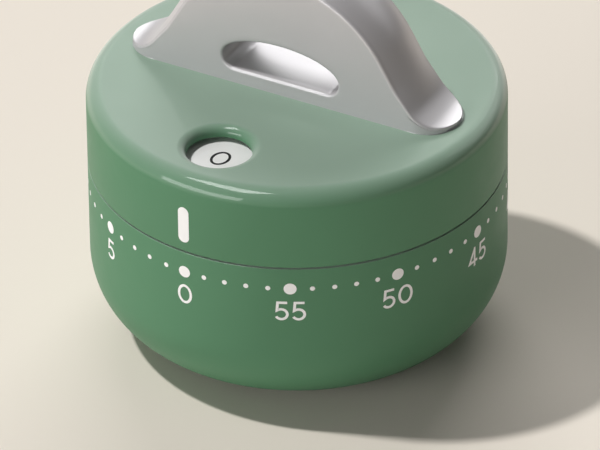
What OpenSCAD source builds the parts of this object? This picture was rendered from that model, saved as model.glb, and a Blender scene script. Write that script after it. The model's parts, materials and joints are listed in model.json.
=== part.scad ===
// Sixty-minute mechanical kitchen timer: a round base with a minute scale, a turning cap with an
// arch-shaped metal grip, a round window over a dial, and a wind-up movement with a bell inside.
// Millimetres, +Z up, origin on the table under the main arbor. The index and window face -Y.

/* [Body] */
// Outer diameter of the base and the cap
body_d = 72; // [70:1:96]
// Height of the base shell, from its underside to the seam
base_h = 31.4; // [31:0.2:42]
// Height from the seam to the top of the cap
cap_h = 15; // [14:0.5:24]
// Open gap between the base shell and the cap at the seam
seam_gap = 0.35; // [0.3:0.05:1]
// Wall of the base shell and the cap's skirt
wall = 2; // [1.8:0.1:2.4]
// Radius of the base's lower edge
bottom_round = 14; // [12:0.5:15]
// Radius of the cap's upper edge
top_round = 3; // [2:0.5:4]
// Thickness of the cap's top
cap_top_t = 1.9; // [1.8:0.1:3]
// How far the rubber foot stands out below the base shell
foot_proud = 1; // [0.6:0.1:2]
// Clearance between the base's spigot and the cap's skirt
spigot_gap = 0.3; // [0.2:0.1:0.6]

/* [Grip] */
// Length of the grip, over its rounded feet
grip_l = 62.4; // [61:0.2:64]
// Thickness of the grip
grip_w = 12; // [10:0.5:16]
// Height of the grip above the cap
grip_h = 24.4; // [22:0.2:27]
// Radius of the arch's crown
grip_crown_r = 23.6; // [20:0.2:24]
// Steepest slope of the arch's flanks, in degrees
grip_flank = 60; // [56:1:64]
// Thickness of the grip's feet at their ends
grip_foot_t = 0.9; // [0.8:0.1:2]
// Turn of the grip from square to the index, in degrees
grip_turn = 3.6; // [0:0.1:8]
// Distance of the grip's screws from the centre
grip_screw_at = 17; // [16:0.5:18]

/* [Finger opening] */
// Width of the half-round opening through the grip
opening_w = 22.4; // [14:0.2:24]
// Height of the opening above its level sill
opening_h = 6.8; // [5:0.1:9]
// Height of the sill above the cap
opening_z = 2.8; // [1.5:0.1:3]
// Radius of the opening's two lower corners
opening_corner = 2.4; // [0.5:0.1:3]

/* [Window and dial] */
// Diameter of the window in the cap
window_d = 11.2; // [8:0.2:13.6]
// Distance from the main arbor to the window's centre
window_at = 24.6; // [23:0.2:25]
// Radius of the window's rounded lip
window_lip = 1.6; // [0.5:0.1:1.7]
// Thickness of the dial disc
dial_t = 0.8; // [0.5:0.1:1.2]
// Clearance between the dial and the turning cap
dial_gap = 0.8; // [0.6:0.1:1.5]

/* [Movement] */
// Thickness of the movement's plates
plate_t = 1.2; // [1:0.1:1.5]
// Space between the two plates
plate_space = 11.5; // [11.5:0.1:14]
// Radius of the movement's plates
plate_r = 28.5; // [28:0.1:29]
// Teeth of the drive wheel
drive_teeth = 60; // [56:1:60]
// Module of the drive wheel and its pinion
drive_m = 0.45; // [0.44:0.01:0.46]
// Teeth of the second wheel
second_teeth = 56; // [50:1:56]
// Module of the second wheel and its pinion
second_m = 0.35; // [0.33:0.01:0.36]
// Teeth of the third wheel
third_teeth = 48; // [44:1:50]
// Module of the third wheel and its pinion
third_m = 0.3; // [0.28:0.01:0.31]
// Radius of the escape wheel, over its teeth
escape_r = 5.8; // [5:0.1:6]
// Radius of the main arbor
arbor_r = 2.5; // [2.2:0.1:3]
// Running clearance of a pivot in its plate, on the radius
pivot_gap = 0.05; // [0.03:0.01:0.1]

/* [Bell] */
// Radius of the bell's rim
bell_r = 19; // [16:0.5:19.5]
// Height of the bell
bell_h = 8.8; // [7:0.1:9.5]
// Thickness of the bell's metal
bell_t = 1; // [0.8:0.1:1.2]
// Gap between the resting hammer and the bell
hammer_gap = 0.7; // [0.5:0.1:1]

/* [Hidden] */
$fn = 96;
body_green = "#4A7A56";
steel = "#B9BCC0";
brass = "#C9A44C";
eps = 0.02;
body_r = body_d / 2;
inner_r = body_r - wall;

// Heights, from the table up
z_base = foot_proud;
z_seam = z_base + base_h;
z_top = z_seam + cap_h;
z_under = z_top - cap_top_t;
cover_t = 1.6;
cover_r = 20.5;
cover_ledge = 1.4;
cover_gap = 0.15;
bell_z = z_base + cover_t + cover_ledge + 0.6;
post_l = 1.6;
tenon_r = 1.9;
z_plate1 = bell_z + bell_h + post_l;
z_in = z_plate1 + plate_t;
z_plate2 = z_in + plate_space;
z_above = z_plate2 + plate_t;

// Base fittings
floor_r = body_r - bottom_round;
boss_at = 25.5;
boss_r = 2.6;
boss_angles = [50, 170, 290];
cover_screw_at = 18.6;
cover_screw_r = 0.9;
spigot_h = 2;
spigot_t = 0.9;
spigot_r = inner_r - spigot_gap;
ledge_t = 1.6;
z_ledge = z_seam - 4.4;
ledge_w = 3.4;
bearing_t = 0.9;
z_bearing = z_seam + spigot_h;
shoulder_gap = 0.2;
z_shoulder = z_bearing + bearing_t + shoulder_gap;
shoulder_w = 0.8;

// Dial carrier
carrier_gap = 0.2;
carrier_flange_r = spigot_r - spigot_t - carrier_gap;
carrier_flange_t = 1.5;
carrier_wall = 1.4;
carrier_r = carrier_flange_r - 1.9;
carrier_deck_t = 1.2;
z_dial = z_under - dial_gap - dial_t;
dial_hole_r = 15.2;
dial_r = carrier_r - 0.2;
rivet_r = 0.9;
rivet_angles = [30, 150, 210];
rivet_at = dial_hole_r + 2;
stop_r = 0.65;
stop_at = carrier_r + 0.4 + stop_r;
stop_angle = 88;
stop_rib_w = 1.2;
stop_lead = 3.1;
stop_rib_l = body_r - wall - shoulder_w - stop_at + stop_r;

// Cap's hub and screws
hub_r = 5.6;
hub_l = 8;
flat_depth = 0.6;
screw_r = 1.3;
screw_head_r = 2.4;
head_gap = 0.1;
screw_head_t = 1.2;
grip_screw_l = 8;

// The arch of the grip: crown arc, straight flank, foot arc
crown_s = grip_crown_r * sin(grip_flank);
crown_z = grip_h - grip_crown_r * (1 - cos(grip_flank));
foot_run = grip_l / 2 - crown_s - (crown_z - grip_foot_t) / tan(grip_flank);
grip_foot_r = foot_run / tan(grip_flank / 2);

// The going train: distances between arbors, and the directions they are laid out in
leaves = 8;
drive_cd = drive_m * (drive_teeth + leaves) / 2;
second_cd = second_m * (second_teeth + leaves) / 2;
third_cd = third_m * (third_teeth + leaves) / 2;
second_dir = 90;
third_dir = -23;
escape_dir = -45;
anchor_dir = -80;
anchor_cd = escape_r + 2.4;
second_at = polar(drive_cd, second_dir);
third_at = second_at + polar(second_cd, third_dir);
escape_at = third_at + polar(third_cd, escape_dir);
anchor_at = escape_at + polar(anchor_cd, anchor_dir);

// Levels of the wheels between the plates
third_z = z_in + 0.8;
thin_t = 0.8;
escape_z = third_z + 2.5;
spring_z = third_z + thin_t + 0.6;
spring_w = 2.8;
ratchet_z = spring_z + spring_w + 0.7;
ratchet_t = 1;
drive_z = ratchet_z + ratchet_t + 0.4;
drive_t = 1.4;
second_z = drive_z + drive_t + 0.8;
second_t = 1;
balance_z = second_z;
pinion_over = 0.4;

// Pivots, arbors and the parts around them
small_arbor_r = 0.8;
pivot_r = 0.45;
main_pivot_r = 1.2;
end_play = 0.1;
ratchet_r = 5;
ratchet_teeth = 16;
click_at = 8.6;
click_dir = 210;
click_pin_r = 0.6;
spring_in = arbor_r + 0.7;
spring_turns = 6;
spring_t = 0.3;
spring_pitch = 1;
spring_step = 15;
spring_end = 250;
pillar_r = 1.8;
pillar_at = 25;
pillar_angles = [5, 150, spring_end];
spring_out = spring_in + spring_turns * spring_pitch;
star_r = 3.2;
star_z = third_z;
hammer_r = 1;
hammer_at = [-9, 24];
hammer_dir = 130;
hammer_head_r = 2;
hammer_head_h = 4;
hammer_arm_t = 1;
hammer_arm_w = 1.8;
head_at = polar(bell_r + hammer_gap + hammer_head_r, hammer_dir);
head_z = bell_z + 0.4;
arm_z = head_z + hammer_head_h;
cam_z = z_above + 0.5;
cam_r = 9;
cam_t = 1.4;
detent_dir = 250;
detent_at = 15;
detent_gap = 0.35;
detent_pin_r = 0.8;

function polar(r, a) = [r * cos(a), r * sin(a)];
function distance(a, b) = sqrt(pow(a[0] - b[0], 2) + pow(a[1] - b[1], 2));
function direction(a, b) = atan2(b[1] - a[1], b[0] - a[0]);

module tube(r_out, r_in, h) {
    difference() {
        cylinder(r = r_out, h = h);
        translate([0, 0, -eps]) cylinder(r = r_in, h = h + 2 * eps);
    }
}

module around(radius, angles) {
    for (a = angles) rotate([0, 0, a]) translate([radius, 0, 0]) children();
}

// Cheese-head screw, its head's top at z = 0 and its shank pointing down
module screw(head_r, head_t, shank_r, length) {
    difference() {
        translate([0, 0, -head_t]) cylinder(r = head_r, h = head_t);
        translate([-head_r - 1, -0.25, -head_t / 2]) cube([2 * head_r + 2, 0.5, head_t]);
    }
    translate([0, 0, -head_t - length]) cylinder(r = shank_r, h = length + eps);
}

// A flat bar with round ends between two points
module link(a, b, w, t) {
    translate([a[0], a[1], 0]) cylinder(d = w, h = t);
    translate([b[0], b[1], 0]) cylinder(d = w, h = t);
    translate([a[0], a[1], 0]) rotate([0, 0, direction(a, b)]) translate([0, -w / 2, 0])
        cube([distance(a, b), w, t]);
}

// Clock teeth: narrow, with a low tip, so that they run free at this coarse clearance
function tooth(n, i, phase, rp, m, root, tip) = let (p = 360 / n, c = phase + i * p) [
    polar(rp - root * m, c - 0.21 * p), polar(rp, c - 0.17 * p), polar(rp + tip * m, c - 0.06 * p),
    polar(rp + tip * m, c + 0.06 * p), polar(rp, c + 0.17 * p), polar(rp - root * m, c + 0.21 * p)
];

module toothed(n, m, phase, root, tip) {
    polygon([for (i = [0 : n - 1]) each tooth(n, i, phase, n * m / 2, m, root, tip)]);
}

// A wheel with a hub, a rim and spokes, a tooth centred on the angle called phase
module wheel(n, m, t, bore, phase, spokes = 4) {
    rim = n * m / 2 - 2.6 * m;
    hub = bore + 1.1;
    linear_extrude(t) difference() {
        toothed(n, m, phase, 1.2, 0.8);
        circle(r = bore);
        if (rim - hub > 1.2) {
            difference() {
                circle(r = rim);
                circle(r = hub);
                for (a = [0 : 360 / spokes : 359]) rotate([0, 0, a]) translate([0, -0.6])
                    square([rim + 1, 1.2]);
            }
        }
    }
}

// An arbor with a pivot at each end and a pinion cut in it
module pinion_arbor(m, pinion_z, pinion_t, phase) {
    translate([0, 0, z_plate1]) cylinder(r = pivot_r, h = z_above - z_plate1);
    translate([0, 0, z_in + end_play]) cylinder(r = small_arbor_r, h = plate_space - 2 * end_play);
    translate([0, 0, pinion_z]) linear_extrude(pinion_t) toothed(leaves, m, phase, 1.2, 0.75);
}

module pivot_holes() {
    for (p = [second_at, third_at, escape_at, anchor_at]) translate([p[0], p[1], 0])
        circle(r = pivot_r + pivot_gap);
}

// Half section of the base shell's outside
module base_outline() {
    intersection() {
        union() {
            translate([0, z_base]) square([floor_r, bottom_round]);
            translate([floor_r, z_base + bottom_round]) circle(r = bottom_round);
            translate([0, z_base + bottom_round]) square([body_r, base_h - bottom_round]);
        }
        square([body_r + 1, z_seam]);
    }
}

// Half section of the base shell's hollow
module base_hollow() {
    r = bottom_round - wall;
    z = z_base + cover_t + cover_ledge;
    intersection() {
        union() {
            translate([0, z]) square([floor_r, bottom_round]);
            translate([floor_r, z_base + bottom_round]) circle(r = r);
            translate([0, z_base + bottom_round]) square([inner_r, base_h]);
        }
        translate([0, z]) square([body_r + 1, base_h]);
    }
}

module base_shell() {
    foot_r = cover_r + cover_gap;
    color(body_green) difference() {
        union() {
            rotate_extrude() difference() {
                base_outline();
                base_hollow();
            }
            rotate_extrude() {
                translate([inner_r - ledge_w, z_ledge - ledge_t]) square([ledge_w + eps, ledge_t]);
                translate([spigot_r - spigot_t, z_ledge + carrier_flange_t + 0.3])
                    square([spigot_t + spigot_gap + eps, z_seam - z_ledge - carrier_flange_t - 0.3]);
                translate([spigot_r - spigot_t, z_seam - eps]) square([spigot_t, spigot_h + eps]);
            }
            intersection() {
                around(boss_at, boss_angles) cylinder(r = boss_r, h = z_plate1);
                rotate_extrude() base_outline();
            }
        }
        translate([0, 0, z_base - eps]) cylinder(r = foot_r, h = cover_t + eps);
        translate([0, 0, z_base]) cylinder(r = cover_screw_at - 2.4, h = cover_t + cover_ledge + eps);
        around(boss_at, boss_angles) translate([0, 0, z_plate1 - 6]) cylinder(r = screw_r, h = 7);
        around(cover_screw_at, boss_angles) translate([0, 0, z_base])
            cylinder(r = cover_screw_r, h = cover_t + cover_ledge + 1);
    }
}

module bottom_cover() {
    slot_w = 1.6;
    color("#2E2E30") translate([0, 0, z_base]) difference() {
        cylinder(r = cover_r, h = cover_t);
        for (x = [-2 : 2]) translate([4 * x - slot_w / 2, -9, -eps]) cube([slot_w, 18, cover_t + 2 * eps]);
        around(cover_screw_at, boss_angles) translate([0, 0, -eps])
            cylinder(r = cover_screw_r + 0.1, h = cover_t + 2 * eps);
        around(cover_screw_at, boss_angles) translate([0, 0, -eps]) cylinder(r = 1.7, h = 0.8);
        translate([0, 0, -eps]) tube(15.6, 13.4, 0.6 + eps);
    }
}

module foot_ring() {
    color("#1E1E1F") tube(15.5, 13.5, z_base + 0.6);
}

module cover_screws() {
    color(steel) around(cover_screw_at, boss_angles) translate([0, 0, z_base + 0.1])
        rotate([180, 0, 0]) screw(1.6, 0.6, cover_screw_r, cover_t + cover_ledge - 0.9);
}

module bearing_ring() {
    color("#F2F1EC") translate([0, 0, z_bearing]) tube(spigot_r, spigot_r - spigot_t, bearing_t);
}

module bell() {
    shoulder = 5.5;
    color("#C8CBCF") translate([0, 0, bell_z]) difference() {
        rotate_extrude() difference() {
            intersection() {
                union() {
                    square([bell_r - shoulder, bell_h]);
                    translate([bell_r - shoulder, bell_h - shoulder]) circle(r = shoulder);
                    square([bell_r, bell_h - shoulder]);
                }
                square([bell_r, bell_h]);
            }
            translate([0, -1]) square([bell_r - shoulder, bell_h - bell_t + 1]);
            translate([bell_r - shoulder, bell_h - shoulder]) circle(r = shoulder - bell_t);
            translate([0, -1]) square([bell_r - bell_t, bell_h - shoulder + 1]);
        }
        translate([0, 0, bell_h - 2]) cylinder(r = screw_r, h = 3);
    }
}

module bell_post() {
    color(brass) translate([0, 0, bell_z + bell_h]) difference() {
        union() {
            cylinder(r = 3, h = post_l);
            cylinder(r = tenon_r, h = post_l + plate_t / 2 - end_play);
        }
        translate([0, 0, -eps]) cylinder(r = screw_r - 0.1, h = post_l + 0.4);
    }
}

module bell_screw() {
    color(steel) translate([0, 0, bell_z + bell_h - bell_t - screw_head_t]) rotate([180, 0, 0])
        screw(screw_head_r, screw_head_t, screw_r - 0.1, bell_t + post_l);
}

module movement_bottom_plate() {
    clear = 0.5;
    color(brass) translate([0, 0, z_plate1]) difference() {
        linear_extrude(plate_t) bottom_plate_outline(clear);
        translate([0, 0, -eps]) cylinder(r = tenon_r, h = plate_t / 2 + eps);
    }
}

module bottom_plate_outline(clear) {
    difference() {
        circle(r = plate_r);
        pivot_holes();
        circle(r = main_pivot_r + pivot_gap);
        translate(hammer_at) circle(r = hammer_r + pivot_gap);
        around(boss_at, boss_angles) circle(r = screw_r + 0.2);
        around(pillar_at, pillar_angles) circle(r = 1);
        for (a = [190, 235, 305]) rotate([0, 0, a]) translate([16, 0]) circle(r = 4 + clear);
    }
}

module movement_top_plate() {
    color(brass) translate([0, 0, z_plate2]) linear_extrude(plate_t) difference() {
        circle(r = plate_r);
        pivot_holes();
        circle(r = arbor_r + pivot_gap);
        translate(hammer_at) circle(r = hammer_r + pivot_gap);
        translate(polar(detent_at, detent_dir)) circle(r = detent_pin_r);
        around(pillar_at, pillar_angles) circle(r = 1);
        for (a = [190, 305]) rotate([0, 0, a]) translate([18, 0]) circle(r = 5);
    }
}

module plate_pillars() {
    color(steel) around(pillar_at, pillar_angles) translate([0, 0, z_in]) difference() {
        cylinder(r = pillar_r, h = plate_space);
        for (z = [-eps, plate_space - 3]) translate([0, 0, z]) cylinder(r = 0.9, h = 3 + eps);
    }
}

module pillar_screws() {
    color(steel) around(pillar_at, pillar_angles) {
        translate([0, 0, z_above + 1]) screw(1.7, 1, 0.9, plate_t + 2.6);
        translate([0, 0, z_plate1 - 1]) rotate([180, 0, 0]) screw(1.7, 1, 0.9, plate_t + 2.6);
    }
}

module movement_screws() {
    color(steel) around(boss_at, boss_angles) translate([0, 0, z_in + 1.2])
        screw(2.2, 1.2, screw_r, plate_t + 5);
}

// Edge of the mainspring at an angle, on its inner side (-1) or its outer side (1)
function spring_point(a, side) =
    polar(spring_in + spring_pitch * a / 360 + side * spring_t / 2, a + spring_end);

module mainspring() {
    steps = spring_turns * 360 / spring_step;
    inner_edge = [for (i = [0 : steps]) spring_point(i * spring_step, -1)];
    outer_edge = [for (i = [steps - 1 : -1 : 0]) spring_point(i * spring_step, 1)];
    end = pillar_at - pillar_r;
    back = polar(spring_t, spring_end - 90);
    tail = [polar(end, spring_end), polar(end, spring_end) + back, polar(spring_out + 1, spring_end) + back];
    color("#8A8E94") translate([0, 0, spring_z]) linear_extrude(spring_w)
        polygon(concat(inner_edge, tail, outer_edge));
}

module stop_pin() {
    color(steel) rotate([0, 0, stop_angle]) translate([stop_at, 0, z_ledge + carrier_flange_t])
        cylinder(r = stop_r, h = z_under - 3 - z_ledge - carrier_flange_t);
}

module dial_carrier() {
    deck = z_dial - carrier_deck_t;
    color("#D9D7D0") difference() {
        rotate_extrude() {
            translate([carrier_r - carrier_wall, z_ledge])
                square([carrier_flange_r - carrier_r + carrier_wall, carrier_flange_t]);
            translate([carrier_r - carrier_wall, z_ledge]) square([carrier_wall, z_dial - z_ledge]);
            translate([dial_hole_r, deck]) square([carrier_r - dial_hole_r, carrier_deck_t]);
        }
        around(rivet_at, rivet_angles) translate([0, 0, deck - 1]) cylinder(r = rivet_r, h = 4);
    }
}

module dial_disc() {
    color("#F4F3EF") translate([0, 0, z_dial]) difference() {
        tube(dial_r, dial_hole_r, dial_t);
        around(rivet_at, rivet_angles) translate([0, 0, -eps]) cylinder(r = rivet_r, h = 2);
    }
}

module dial_rivets() {
    color(steel) around(rivet_at, rivet_angles) translate([0, 0, z_dial - carrier_deck_t - 0.5]) {
        cylinder(r = 1.5, h = 0.5);
        cylinder(r = rivet_r, h = 0.5 + carrier_deck_t + dial_t);
    }
}

module cap_outline() {
    z0 = z_seam + seam_gap;
    translate([0, z0]) square([body_r, cap_h - seam_gap - top_round]);
    translate([0, z0]) square([body_r - top_round, cap_h - seam_gap]);
    translate([body_r - top_round, z_top - top_round]) circle(r = top_round);
}

module cap() {
    z0 = z_seam + seam_gap;
    ceiling_r = 1.5;
    upper_r = inner_r - shoulder_w;
    color(body_green) difference() {
        union() {
            rotate_extrude() difference() {
                cap_outline();
                translate([0, z0 - 1]) square([inner_r, z_shoulder - z0 + 1]);
                translate([0, z0]) square([upper_r, z_under - z0 - ceiling_r]);
                translate([0, z0]) square([upper_r - ceiling_r, z_under - z0]);
                translate([upper_r - ceiling_r, z_under - ceiling_r]) circle(r = ceiling_r);
            }
            translate([0, 0, z_under - hub_l]) cylinder(r = hub_r, h = hub_l + eps);
            rotate([0, 0, stop_angle - stop_lead])
                translate([stop_at - stop_r, -stop_rib_w / 2, z_shoulder + 0.6])
                cube([stop_rib_l + 0.4, stop_rib_w, z_under - z_shoulder - 0.6 + eps]);
        }
        difference() {
            translate([0, 0, z_under - hub_l - 1]) cylinder(r = arbor_r + 0.03, h = hub_l + 1);
            translate([arbor_r - flat_depth, -arbor_r, z_under - hub_l]) cube([2, 2 * arbor_r, hub_l]);
        }
        translate([0, -window_at, z_under - 1]) cylinder(d = window_d, h = cap_top_t + 2);
        translate([0, -window_at, z_top - window_lip]) rotate_extrude() difference() {
            square([window_d / 2 + window_lip, window_lip + 1]);
            translate([window_d / 2 + window_lip, 0]) circle(r = window_lip);
        }
        rotate([0, 0, grip_turn]) for (s = [-1, 1]) translate([s * grip_screw_at, 0, z_under - 1]) {
            cylinder(r = screw_r, h = cap_top_t + 2);
            cylinder(r = screw_head_r + head_gap, h = screw_head_t + 1);
        }
    }
}

// Right half of the arch, from the foot's end to the crown
function arch_half() = [
    each [for (i = [0 : 8]) let (a = grip_flank * i / 8)
        [grip_l / 2 - grip_foot_r * sin(a), grip_foot_t + grip_foot_r * (1 - cos(a))]],
    each [for (i = [0 : 12]) let (a = grip_flank * (1 - i / 12))
        [grip_crown_r * sin(a), grip_h - grip_crown_r * (1 - cos(a))]]
];

module arch() {
    half = arch_half();
    n = len(half);
    left = [for (i = [n - 2 : -1 : 0]) [-half[i][0], half[i][1]]];
    polygon(concat([[grip_l / 2, 0]], half, left, [[-grip_l / 2, 0]]));
}

module grip() {
    color("#A9ABAD") translate([0, 0, z_top]) rotate([0, 0, grip_turn]) difference() {
        intersection() {
            rotate([90, 0, 0]) translate([0, 0, -grip_w / 2]) linear_extrude(grip_w) arch();
            linear_extrude(grip_h + 1) {
                square([grip_l - grip_w, grip_w], center = true);
                for (s = [-1, 1]) translate([s * (grip_l - grip_w) / 2, 0]) circle(d = grip_w);
            }
        }
        rotate([90, 0, 0]) translate([0, opening_z, -grip_w]) linear_extrude(2 * grip_w) half_round();
        for (s = [-1, 1]) translate([s * grip_screw_at, 0, -eps])
            cylinder(r = screw_r, h = grip_screw_l + screw_head_t - cap_top_t + 0.5);
    }
}

// Right-hand lower corner of the opening, from the sill up
function opening_low() = [
    for (i = [0 : 5]) [opening_w / 2, opening_corner] + opening_corner * [sin(18 * i) - 1, -cos(18 * i)]
];

// Half ellipse on a level sill, with rounded lower corners
module half_round() {
    rise = opening_h - opening_corner;
    low = opening_low();
    arc = [for (i = [1 : 23]) [opening_w / 2 * cos(7.5 * i), opening_corner + rise * sin(7.5 * i)]];
    polygon(concat(low, arc, [for (i = [5 : -1 : 0]) [-low[i][0], low[i][1]]]));
}

module grip_screws() {
    color(steel) rotate([0, 0, grip_turn]) for (s = [-1, 1])
        translate([s * grip_screw_at, 0, z_under]) rotate([180, 0, 0])
            screw(screw_head_r, screw_head_t, screw_r, grip_screw_l);
}

module main_arbor() {
    top = z_under - 0.2;
    color(steel) difference() {
        union() {
            translate([0, 0, z_in + end_play]) cylinder(r = arbor_r, h = top - z_in - end_play);
            translate([0, 0, z_in - plate_t / 2 + end_play]) cylinder(r = main_pivot_r, h = plate_t);
        }
        translate([arbor_r - flat_depth - 0.03, -arbor_r, z_under - hub_l - 0.2])
            cube([2, 2 * arbor_r, hub_l + 1]);
    }
}

module stop_cam() {
    color(brass) translate([0, 0, cam_z]) linear_extrude(cam_t) difference() {
        circle(r = cam_r);
        circle(r = arbor_r);
        rotate([0, 0, detent_dir + 4]) translate([cam_r - 1.2, -1.4]) square([2, 2.8]);
    }
}

module ratchet_wheel() {
    color(steel) translate([0, 0, ratchet_z]) linear_extrude(ratchet_t) difference() {
        polygon([for (i = [0 : ratchet_teeth - 1]) each [
            polar(ratchet_r, i * 360 / ratchet_teeth),
            polar(ratchet_r - 0.9, (i + 0.08) * 360 / ratchet_teeth)]]);
        circle(r = arbor_r);
    }
}

module drive_wheel() {
    color(brass) translate([0, 0, drive_z]) difference() {
        wheel(drive_teeth, drive_m, drive_t, arbor_r + pivot_gap, second_dir, 5);
        rotate([0, 0, click_dir]) translate([click_at, 0, -eps])
            cylinder(r = click_pin_r, h = drive_t / 2 + eps);
    }
    color(brass) translate([0, 0, drive_z]) rotate([0, 0, click_dir]) translate([click_at, 0, 0])
        difference() {
            cylinder(r = 1.6, h = drive_t);
            translate([0, 0, -eps]) cylinder(r = click_pin_r, h = drive_t / 2 + eps);
        }
}

module click_pin() {
    color(steel) rotate([0, 0, click_dir]) translate([click_at, 0, ratchet_z - 0.4]) {
        cylinder(r = click_pin_r, h = drive_z - ratchet_z + 0.4 + drive_t / 2);
        cylinder(r = 1.1, h = 0.3);
    }
}

module click() {
    tip = polar(ratchet_r + 0.55, click_dir + 38);
    color(steel) translate([0, 0, ratchet_z]) difference() {
        link(polar(click_at, click_dir), tip, 1, ratchet_t);
        translate([click_at * cos(click_dir), click_at * sin(click_dir), -eps])
            cylinder(r = click_pin_r + pivot_gap, h = 2);
    }
    color(steel) translate([click_at * cos(click_dir), click_at * sin(click_dir), ratchet_z])
        tube(1.3, click_pin_r + pivot_gap, ratchet_t);
}

module click_spring() {
    color(steel) translate([0, 0, ratchet_z + 0.3]) rotate([0, 0, click_dir + 22])
        intersection() {
            tube(9.7, 9.4, 1.1);
            cube([12, 12, 4]);
        }
    color(steel) translate([0, 0, ratchet_z + 0.3]) rotate([0, 0, click_dir + 112]) translate([9.55, 0, 0])
        cylinder(r = 0.6, h = drive_z - ratchet_z - 0.3);
}

module place(p) {
    translate([p[0], p[1], 0]) children();
}

module second_wheel() {
    color(brass) place(second_at) translate([0, 0, second_z])
        wheel(second_teeth, second_m, second_t, small_arbor_r, third_dir);
}

module second_arbor() {
    pinion_t = drive_t + 2 * pinion_over;
    color(steel) place(second_at)
        pinion_arbor(drive_m, drive_z - pinion_over, pinion_t, second_dir + 180 + 180 / leaves);
}

module strike_star() {
    color(brass) place(second_at) translate([0, 0, star_z]) linear_extrude(thin_t) difference() {
        polygon([for (i = [0 : 11]) polar(i % 2 == 0 ? star_r : star_r - 1.4, i * 30)]);
        circle(r = small_arbor_r);
    }
}

module third_wheel() {
    color(brass) place(third_at) translate([0, 0, third_z])
        wheel(third_teeth, third_m, thin_t, small_arbor_r, escape_dir);
}

module third_arbor() {
    color(steel) place(third_at)
        pinion_arbor(second_m, second_z - 0.3, second_t + 0.6, third_dir + 180 + 180 / leaves);
}

module escape_wheel() {
    teeth = 15;
    color(brass) place(escape_at) translate([0, 0, escape_z]) linear_extrude(thin_t) difference() {
        polygon([for (i = [0 : teeth - 1]) each [
            polar(escape_r, i * 360 / teeth),
            polar(escape_r - 1.6, (i + 0.12) * 360 / teeth),
            polar(escape_r - 1.6, (i + 0.6) * 360 / teeth)]]);
        circle(r = small_arbor_r);
    }
}

module escape_arbor() {
    color(steel) place(escape_at)
        pinion_arbor(third_m, third_z - 0.3, thin_t + 0.6, escape_dir + 180 + 180 / leaves);
}

module anchor() {
    reach = escape_r + 0.65;
    color(steel) translate([0, 0, escape_z + thin_t + 0.3]) difference() {
        for (s = [-1, 1]) link(anchor_at, escape_at + polar(reach, anchor_dir + s * 35), 1, 0.8);
        place(anchor_at) translate([0, 0, -1]) cylinder(r = small_arbor_r, h = 3);
    }
    color(steel) translate([0, 0, escape_z + thin_t + 0.3]) place(anchor_at) tube(1.5, small_arbor_r, 0.8);
    color(steel) for (s = [-1, 1]) place(escape_at + polar(reach, anchor_dir + s * 35))
        translate([0, 0, escape_z - 0.3]) cylinder(r = 0.25, h = thin_t + 0.6 + eps);
}

module anchor_arbor() {
    color(steel) place(anchor_at) {
        translate([0, 0, z_plate1]) cylinder(r = pivot_r, h = z_above - z_plate1);
        translate([0, 0, z_in + end_play]) cylinder(r = small_arbor_r, h = plate_space - 2 * end_play);
    }
}

module balance_bar() {
    half = 5.5;
    color(brass) place(anchor_at) rotate([0, 0, 20]) translate([0, 0, balance_z]) difference() {
        union() {
            link([-half, 0], [half, 0], 1.2, 0.8);
            cylinder(r = 1.5, h = 0.8);
            for (s = [-1, 1]) translate([s * half, 0, 0]) cylinder(r = 1.2, h = 1.2);
        }
        translate([0, 0, -1]) cylinder(r = small_arbor_r, h = 3);
    }
}

module hammer_arbor() {
    color(steel) place(hammer_at) {
        translate([0, 0, arm_z]) cylinder(r = hammer_r, h = z_above - arm_z);
    }
}

module hammer_arm() {
    color(steel) difference() {
        union() {
            translate([0, 0, arm_z]) link(hammer_at, head_at, hammer_arm_w, hammer_arm_t);
            place(hammer_at) translate([0, 0, arm_z]) cylinder(r = 2, h = hammer_arm_t);
        }
        place(hammer_at) translate([0, 0, arm_z - 1]) cylinder(r = hammer_r, h = 4);
    }
}

// The tail that the strike star lifts
module hammer_tail() {
    tail_l = distance(hammer_at, second_at) - star_r - 0.6;
    tail = hammer_at + polar(tail_l, direction(hammer_at, second_at));
    color(steel) difference() {
        union() {
            translate([0, 0, star_z]) link(hammer_at, tail, 1.2, thin_t);
            place(hammer_at) translate([0, 0, star_z]) cylinder(r = 2, h = thin_t);
        }
        place(hammer_at) translate([0, 0, star_z - 1]) cylinder(r = hammer_r, h = 4);
    }
}

module hammer_head() {
    color(brass) place(head_at) translate([0, 0, head_z]) cylinder(r = hammer_head_r, h = hammer_head_h);
}

module detent_pin() {
    color(steel) place(polar(detent_at, detent_dir)) {
        translate([0, 0, z_plate2 + 0.3])
            cylinder(r = detent_pin_r, h = cam_z + cam_t + 0.8 - z_plate2 - 0.3);
        translate([0, 0, cam_z + cam_t + 0.3]) cylinder(r = 1.5, h = 0.5);
    }
}

module detent_arm() {
    post = polar(detent_at, detent_dir);
    tip = polar(cam_r + detent_gap + 0.7, detent_dir + 40);
    color(steel) translate([0, 0, cam_z]) difference() {
        union() {
            link(post, tip, 1.4, cam_t);
            place(post) cylinder(r = 2, h = cam_t);
        }
        place(post) translate([0, 0, -1]) cylinder(r = detent_pin_r + pivot_gap, h = 4);
    }
}

base_shell();
bottom_cover();
foot_ring();
cover_screws();
bearing_ring();
bell();
bell_post();
bell_screw();
movement_bottom_plate();
movement_top_plate();
plate_pillars();
pillar_screws();
movement_screws();
mainspring();
stop_pin();
dial_carrier();
dial_disc();
dial_rivets();
cap();
grip();
grip_screws();
main_arbor();
stop_cam();
ratchet_wheel();
drive_wheel();
click_pin();
click();
click_spring();
second_wheel();
second_arbor();
strike_star();
third_wheel();
third_arbor();
escape_wheel();
escape_arbor();
anchor();
anchor_arbor();
balance_bar();
hammer_arbor();
hammer_arm();
hammer_tail();
hammer_head();
detent_pin();
detent_arm();
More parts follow.
